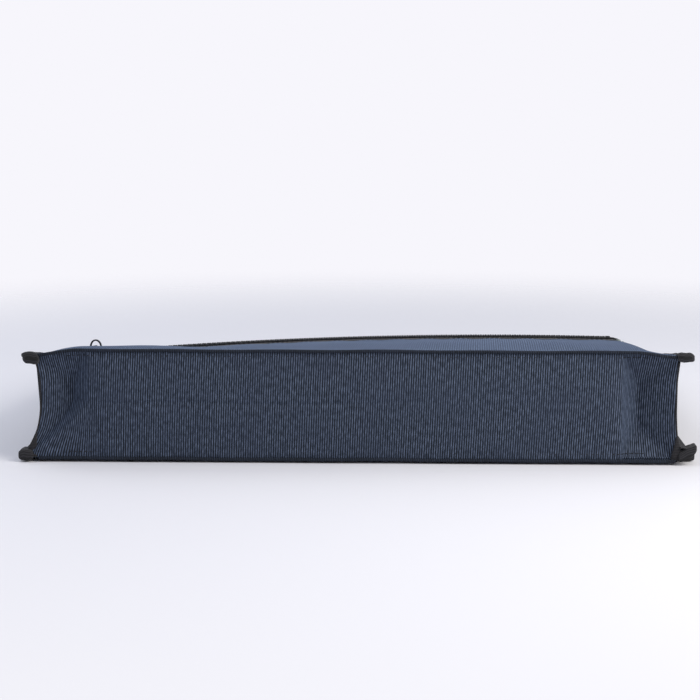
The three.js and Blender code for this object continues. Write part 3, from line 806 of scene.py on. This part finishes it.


# Topstitched ridges where the front and the back turn into the base, in the darkened weave that paints the
# seam's shade
ridge = {
    "height": 1.7, "deep": 2.3, "frontDrop": 0.7, "backHeight": 1.65,
    "waver": 0.12, "setBack": 0.05,
    "stitchBelow": 3.6, "stitchAbove": 1.9, "stitchEnd": 156.0,
}


def buildRidge(name, node, middle):
    x = closerAtEnds(halfWidth - 1, -140, 138, (40, 150, 40), gap=2)[:, None]
    u, v = squareRound(16, 2.6)
    waver = ridge["waver"] * np.sin(x / 9.0) + 0.1 * np.sin(x / 23.0 + 1)
    out = ridge["setBack"] + ridge["waver"] * np.sin(x / 14.0)
    rings = gridPoints(x, out + ridge["deep"] / 2 * u, middle(x) + waver + ridge["height"] / 2 * v)
    dress(ringsObject(name, rings, shadedNavy), "navy_cloth", node)


# The binding also runs down both ends of the base as a thin dark edge
endEdge = {
    "wide": 1.2, "deep": 1.7, "low": 2.2, "topGap": 3.4, "aside": 0.35, "setBack": 0.9,
    "footWide": 5.5, "footRise": 17.0, "footAside": 0.42,  # it spreads at the foot
}


def buildEndEdge(side, name, node):
    z = np.linspace(endEdge["low"], edgeHeight(0.0) - endEdge["topGap"], 80)[:, None]
    u, v = squareRound(12, 2.4)
    foot = (1 - smooth(z / endEdge["footRise"])) * endEdge["footWide"]
    x = side * (halfWidth + endEdge["aside"] - edgeBowAt(z, side) - foot * endEdge["footAside"])
    y = baseDent(side * halfWidth, z) + endEdge["setBack"] - 0.5 * smooth(foot)
    rings = gridPoints(x + (endEdge["wide"] + foot) / 2 * u, y + endEdge["deep"] / 2 * v, z)
    dress(ringsObject(name, rings, binding), "binding_tape", node)


def buildSeams():
    seams = []
    for side, word in ((-1, "left"), (1, "right")):
        for layer in ("front", "back"):
            path = buildBinding(side, layer, f"{layer}{word.title()}Binding", f"{layer}_{word}_binding")
            if layer == "front":
                seams.append(path)
        buildEndEdge(side, f"{word}EndEdge", f"{word}_end_piping")
    buildLoosePly()
    stitches("bindingStitches", seams, (0, 0, 1), blackThread, "binding_tape")
    buildRidge("frontBaseRidge", "front_base_ridge", lambda x: seamHeight(x) - ridge["frontDrop"])
    buildRidge("backBaseRidge", "back_base_ridge", lambda x: ridge["backHeight"])
    x = np.linspace(-ridge["stitchEnd"], ridge["stitchEnd"], 320)
    heights = (panelHigh[2] + ridge["stitchAbove"], seamHeight(x) - ridge["stitchBelow"])
    rows = [gridPoints(x, baseDent(x, z) + stitch["gap"], z) for z in heights]
    stitches("baseStitches", rows, (0, -1, 0), navyThread, "navy_cloth")


buildSeams()
print("seams and bindings made")


# Black enamelled sliders, pullers and stops, and the pressed board, keep the frame's own shapes
# with their edges broken
def finishHard(node, material, bevel):
    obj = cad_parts[node]
    obj.data.materials.clear()
    obj.data.materials.append(material)
    edge = obj.modifiers.new("brokenEdges", "BEVEL")
    edge.width = bevel * mm
    edge.segments = 2
    edge.limit_method = "ANGLE"
    edge.angle_limit = math.radians(35)
    edge.harden_normals = True
    obj.data.shade_smooth()


# Zippers: knitted tape, a row of moulded teeth on each side, and the row's cord
zipper = {
    "tapeThick": 0.6,
    "tapeTuck": 0.28,  # each pocket tape's outer edge runs on to the turned edge of the cloth
    "slot": 1.6, "gap": 0.3,
    "teeth": 105, "tip": 1.2, "neck": 0.62, "reach": 1.1,
    "cordAside": 2.2, "cordWide": 1.8, "cordThick": 1.0, "cordHeight": 0.55,
    "cordPast": 9.0,
    "sag": 0.12, "mouthSag": 0.15,
    "seamAside": 2.2, "seamEnd": 164.0,
    "bevel": 0.22, "stopBevel": 0.3,
}


def toothPart():
    # One tooth about its own middle: half widths from the foot on the cord, over the neck, to a
    # rounded head past the middle line
    half = [
        (0.45, 3.0), (0.6, 1.5), (0.45, 1.0), (zipper["neck"] / 2, 0.2), (0.5, -0.4),
        (zipper["tip"] / 2, -0.75), (0.42, -zipper["reach"]),
    ]
    outline = [(-x, v) for x, v in half] + half[::-1]
    # heights out of the tape, and what share of the outline is left there
    layers = [(0.0, 0.86), (0.3, 1.0), (1.3, 1.0), (1.55, 0.84), (1.62, 0.5)]
    points = [(x * share, lerp(0.6, v, (share + 1) / 2), w) for w, share in layers for x, v in outline]
    return np.array(points), tubeFaces(len(layers), len(outline))


def toothRow(name, node, side, phase, seat, cordPast=0.0):
    # seat puts (x along, v across, w out of the tape) on the bag, in millimetres.
    # The cord runs on past the last tooth by cordPast
    low, high = boxOf(node)
    start, end = low[0], high[0]
    pitch = (end - start) / zipper["teeth"]
    points, faces = toothPart()
    parts = []
    for k in range(zipper["teeth"]):
        middle = start + (k + phase) * pitch
        parts.append((seat(middle + points[:, 0], side * points[:, 1], points[:, 2]), faces))
    x = np.linspace(start, end + cordPast, 160)[:, None]
    u, v = squareRound(12, 2.2)
    across = side * (zipper["cordAside"] + zipper["cordWide"] / 2 * u)
    rings = seat(x, across, zipper["cordHeight"] + zipper["cordThick"] / 2 * v)
    parts.append((rings.reshape(-1, 3), tubeFaces(*rings.shape[:2])))
    dress(joinedObject(name, parts, teethPlastic), "nylon_teeth", node)


def pocketSeat(x, v, w):
    return gridPoints(x, zipMiddle + v, frontHeight(x, zipMiddle + v) + zipper["gap"] + w)


mouthLow, mouthHigh = boxOf("mouth_zip_tape_back")[0][2], boxOf("mouth_zip_tape_front")[1][2]
mouthMiddle = (mouthLow + mouthHigh) / 2


def mouthSeat(x, v, w):
    return gridPoints(x, bagHeight + zipper["gap"] + w, mouthMiddle + v)


# The pocket tape's right end is turned down over the pocket. Its edges are real, but drawn pale as painted
# highlights along the fold
tapeEnd = {
    "places": (151.0, 154.5), "from": 80.0, "step": 9.0, "past": 4.0,
    "radius": 0.45, "bow": 2.0, "lean": 1.5, "rise": 0.3,
}


def buildTapeEnd():
    u, v = squareRound(10, 2.0)
    for number, place in enumerate(tapeEnd["places"]):
        y = np.linspace(tapeEnd["from"] + tapeEnd["step"] * number, zipMiddle + tapeEnd["past"], 50)[:, None]
        share = (y - y[0]) / (y[-1] - y[0])
        x = place + tapeEnd["bow"] * np.sin(math.pi * share) - tapeEnd["lean"] * (1 - share) ** 2
        z = frontHeight(x, y) + frontLift(x, y) + tapeEnd["rise"]
        rings = gridPoints(x + tapeEnd["radius"] * u, y, z + tapeEnd["radius"] * v)
        dress(ringsObject(f"tapeHighlight{number}", rings, tapeEndHighlight), "zipper_tape")


def buildPocketZipper():
    half, tuck = zipper["slot"] / 2, zipper["tapeTuck"]
    spans = {"lower": (tapeLowY - tuck, zipMiddle - half), "upper": (zipMiddle + half, tapeHighY + tuck)}
    for word, (start, end) in spans.items():
        x, y = spread(frontColumns, np.linspace(start, end, 14))
        sag = zipper["sag"] * np.sin(x / 6.0 + y) * smooth(np.minimum(y - start, end - y) / 3)
        outer, inner = frontPoints(x, y, sag), frontPoints(x, y, sag - zipper["tapeThick"])
        name = f"pocketTape{word.title()}"
        sewCloth(name, outer, inner, zipTape, "zipper_tape", f"pocket_zip_tape_{word}")
    x = np.linspace(-zipper["seamEnd"], zipper["seamEnd"], 330)
    places = (tapeLowY - zipper["seamAside"], tapeHighY + zipper["seamAside"])
    seams = [frontPoints(x, y, frontLift(x, y + 0 * x) + stitch["gap"]) for y in places]
    stitches("pocketStitches", seams, (0, 0, 1), navyThread, "navy_cloth")
    for word, side, phase in (("lower", -1, 0.25), ("upper", 1, 0.75)):
        name, past = f"pocketTeeth{word.title()}", zipper["cordPast"]
        toothRow(name, f"pocket_teeth_{word}", side, phase, pocketSeat, past)


def buildMouthZipper():
    for word, side, phase in (("back", -1, 0.25), ("front", 1, 0.75)):
        toothRow(f"mouthTeeth{word.title()}", f"mouth_teeth_{word}", side, phase, mouthSeat)
        low, high = boxOf(f"mouth_zip_tape_{word}")
        x, z = spread(np.linspace(low[0], high[0], 160), np.linspace(low[2], high[2], 10))
        sag = zipper["mouthSag"] * np.sin(x / 7.0) * smooth(np.minimum(z - low[2], high[2] - z) / 2)
        outer = gridPoints(x, bagHeight + sag - zipper["mouthSag"], z)
        name, inner = f"mouthTape{word.title()}", outer - [0, zipper["tapeThick"], 0]
        sewCloth(name, outer, inner, zipTape, "zipper_tape", f"mouth_zip_tape_{word}")


def finishMetal():
    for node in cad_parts:
        if "slider" in node or "puller" in node or "stop" in node:
            bevel = zipper["stopBevel" if "stop" in node else "bevel"]
            finishHard(node, enamel, bevel)


buildPocketZipper()
buildMouthZipper()
finishMetal()
buildTapeEnd()
print("zippers made")


# The pocket's inner wall, a thin taffeta tray, and the board in the base
inside = {
    "thick": 0.6, "topGap": 4.4, "drop": 10.0, "floor": 37.0, "pastZip": 6.0, "underFront": 2.5,
    "behindBase": 1.0, "boardBevel": 0.3,
}


def buildInside():
    low, high = boxOf("pocket_lining")
    top, floor = bag["depth"] - bag["cloth"] - inside["topGap"], inside["floor"]
    profileY = np.array([1.5, 3.6, 9.6, 18.0, tapeLowY, tapeHighY + inside["pastZip"]])
    profileZ = np.array([top, top - inside["drop"], floor + 2, floor, floor - 3, floor - 6])
    x, share = spread(np.linspace(low[0], high[0], 60), np.linspace(0, 5, 60))
    y = np.interp(share, range(6), profileY)
    z = np.interp(share, range(6), profileZ)
    roof = frontHeight(x, np.maximum(y, 3)) - bag["cloth"] - inside["underFront"]
    z = np.minimum(z, roof) - 0.1
    y = y + (baseDent(x, z) + inside["behindBase"]) * (1 - smooth((y - 4) / 10))
    outer = gridPoints(x, y, z)
    inner = gridPoints(x, y + 0.5 * (share < 2), z - inside["thick"])
    sewCloth("pocketWall", outer, inner, lining, "pocket_lining", "pocket_lining")
    finishHard("base_board", greyBoard, inside["boardBevel"])


buildInside()
print("inside made")


# Handles of black webbing: each strap is sewn down to a panel and loops out past the mouth
handle = {
    "width": 25.0, "thick": 2.0, "spread": 140.0, "sewnFrom": 222.0, "hingeY": 263.0, "reach": 112.0,
    "legs": 34.0, "droopFrom": 281.0, "droopTo": 352.0, "box": 30.0, "inset": 3.0,
    "gap": 0.3, "bend": 7.0, "slopeOver": 4.0, "slopeShare": 0.6,
}


def strapPath():
    half = handle["spread"] / 2
    legTop = handle["hingeY"] + handle["legs"]
    rise = handle["reach"] - handle["legs"] - handle["width"] / 2
    up = np.linspace(handle["sewnFrom"], legTop, 70)
    angle = np.linspace(math.pi, 0, 72)[1:-1]
    normal = np.stack([np.cos(angle) / half, np.sin(angle) / rise], -1)
    normal /= np.linalg.norm(normal, axis=1, keepdims=True)
    points = np.concatenate([
        np.stack([-half + 0 * up, up], -1),
        np.stack([half * np.cos(angle), legTop + rise * np.sin(angle)], -1),
        np.stack([half + 0 * up, up[::-1]], -1),
    ])
    normals = np.concatenate([[[-1, 0]] * len(up), normal, [[1, 0]] * len(up)])
    return points, normals


def buildStrap(word, under):
    # under gives the height of what the strap lies on
    points, normals = strapPath()
    u, v = squareRound(30, 5.0)
    flat = points[:, None, :] + normals[:, None, :] * (handle["width"] / 2 * u)[None, :, None]
    z = under(flat[..., 0], flat[..., 1]) + handle["thick"] / 2 * (1 + v)
    rings = gridPoints(flat[..., 0], flat[..., 1], z)
    length = np.concatenate([[0], np.cumsum(np.linalg.norm(np.diff(points, axis=0), axis=1))])
    uv = np.stack(spread(length, handle["width"] / 2 * (u + 1)), axis=-1)
    strap = ringsObject(f"{word}HandleStrap", rings, webbing, uv)
    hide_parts(f"{word}_handle", f"{word}_handle_end_left", f"{word}_handle_end_right")
    hinge = placed([0, handle["hingeY"], float(under(handle["spread"] / 2, handle["hingeY"]))])
    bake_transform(strap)


def boxStitch(word, under, up):
    rows = []
    size = (handle["width"] / 2 - handle["inset"], handle["box"])
    # round the box, and from corner to corner
    corners = np.array([(-1, 0), (1, 0), (1, 1), (-1, 1), (-1, 0), (1, 1), (-1, 1), (1, 0)]) * size
    start = handle["sewnFrom"] + handle["inset"]
    lift = handle["thick"] * (1 if up > 0 else 0)
    t = np.linspace(0.03, 0.97, 24)
    for centre in (-handle["spread"] / 2, handle["spread"] / 2):
        for (xa, ya), (xb, yb) in zip(corners[:-1], corners[1:]):
            x, y = centre + lerp(xa, xb, t), start + lerp(ya, yb, t)
            rows.append(gridPoints(x, y, under(x, y) + lift))
    stitches(f"{word}BoxStitches", rows, (0, 0, up), blackThread, "handle_webbing")


def underFront(x, y):
    x, y = together(x, y)
    hingeY, before = handle["hingeY"], handle["hingeY"] - handle["slopeOver"]
    seat = frontHeight(0, hingeY) + handle["gap"]
    slope = (frontHeight(0, hingeY) - frontHeight(0, before)) / handle["slopeOver"]
    high = seat + slope * (np.minimum(y, handle["droopFrom"]) - hingeY) * handle["slopeShare"]
    droop = smooth((y - handle["droopFrom"]) / (handle["droopTo"] - handle["droopFrom"]))
    drooped = lerp(high, handle["thick"] + handle["gap"], droop)
    sewn = frontHeight(x, np.minimum(y, hingeY)) + handle["gap"]
    return np.where(y < hingeY, sewn, drooped)


def underBack(x, y):
    return np.zeros(np.broadcast(x, y).shape)


buildStrap("front", underFront)
boxStitch("front", underFront, 1)
buildStrap("back", underBack)
boxStitch("back", underBack, -1)
print("handles made")


# A white table that fades into the pale room behind it, a lamp from the right in front, and a broad
# soft light from the upper left
stage = {
    "table": "#f2f2f7", "tableReach": 6.0, "tableDrop": -0.0004, "fadeFrom": 0.3, "fadeTo": 0.8,
    "room": "#f7f6fc", "roomLight": "#e6eaf6", "roomFill": 0.53,
    "keyPower": 7.4, "keySize": 0.6, "keyPlace": (0.7, -0.52, 0.6), "keyColour": "#fffaf2",
    "topPower": 9.0, "topSize": 1.8, "topPlace": (-0.9, 0.1, 1.05), "topColour": "#f6f8ff",
}


def buildStage():
    corners = [(-1, -1), (1, -1), (1, 1), (-1, 1)]
    points = [(x * stage["tableReach"], y * stage["tableReach"], stage["tableDrop"]) for x, y in corners]
    table = newMaterial("white lacquered table")
    place = addNode(table, "TexCoord")
    far = addNode(table, "VectorMath", {"operation": "LENGTH"}, {0: place.outputs["Object"]})
    fade = addNode(
        table, "MapRange",
        {"From Min": stage["fadeFrom"], "From Max": stage["fadeTo"], "interpolation_type": "SMOOTHSTEP"},
        {"Value": far.outputs["Value"]},
    )
    lacquer = addNode(
        table, "BsdfPrincipled",
        {"Base Color": linear(stage["table"]), "Roughness": 0.6, "IOR": 1.45},
    )
    clear = addNode(table, "BsdfTransparent")
    both = addNode(
        table, "MixShader", {},
        {0: fade.outputs["Result"], 1: lacquer.outputs["BSDF"], 2: clear.outputs["BSDF"]},
    )
    addNode(table, "OutputMaterial", {}, {"Surface": both.outputs["Shader"]})
    floor = meshObject("table", points, [(0, 1, 2, 3)], table)
    for word in ("key", "top"):
        data = bpy.data.lights.new(word + "Light", "AREA")
        data.energy = stage[word + "Power"]
        data.size = stage[word + "Size"]
        data.color = linear(stage[word + "Colour"])[:3]
        lamp = bpy.data.objects.new(word + "Light", data)
        lamp.location = stage[word + "Place"]
        lamp.rotation_euler = (-lamp.location).to_track_quat("-Z", "Y").to_euler()
        bpy.context.scene.collection.objects.link(lamp)
    world = bpy.data.worlds.new("paleRoom")
    bpy.context.scene.world = world
    world.use_nodes = True
    world.node_tree.nodes.clear()
    path = addNode(world, "LightPath")
    fill = addNode(
        world, "Background", {"Color": linear(stage["roomLight"]), "Strength": stage["roomFill"]},
    )
    shown = addNode(world, "Background", {"Color": linear(stage["room"])})
    mixed = addNode(
        world, "MixShader", {},
        {0: path.outputs["Is Camera Ray"], 1: fill.outputs["Background"], 2: shown.outputs["Background"]},
    )
    addNode(world, "OutputWorld", {}, {"Surface": mixed.outputs["Shader"]})


# Seen from in front of the base, a little above the table
camera = {
    "lens": 95.0, "sensor": 36.0, "away": 977.0, "height": 211.8, "aside": -2.9, "pitch": 8.74,
    "yaw": 1.6,
}


def buildCamera():
    data = bpy.data.cameras.new("camera")
    data.lens = camera["lens"]
    data.sensor_width = camera["sensor"]
    eye = bpy.data.objects.new("camera", data)
    yaw = math.radians(camera["yaw"])
    across, back = camera["aside"], camera["away"]
    x = across * math.cos(yaw) + back * math.sin(yaw)
    y = across * math.sin(yaw) - back * math.cos(yaw)
    eye.location = placed([x, y, camera["height"]])
    eye.rotation_euler = (math.radians(90 - camera["pitch"]), 0, yaw)
    bpy.context.scene.collection.objects.link(eye)
    bpy.context.scene.camera = eye


buildStage()
buildCamera()
bpy.context.scene.view_settings.view_transform = "Standard"
print("stage, lights and camera set")
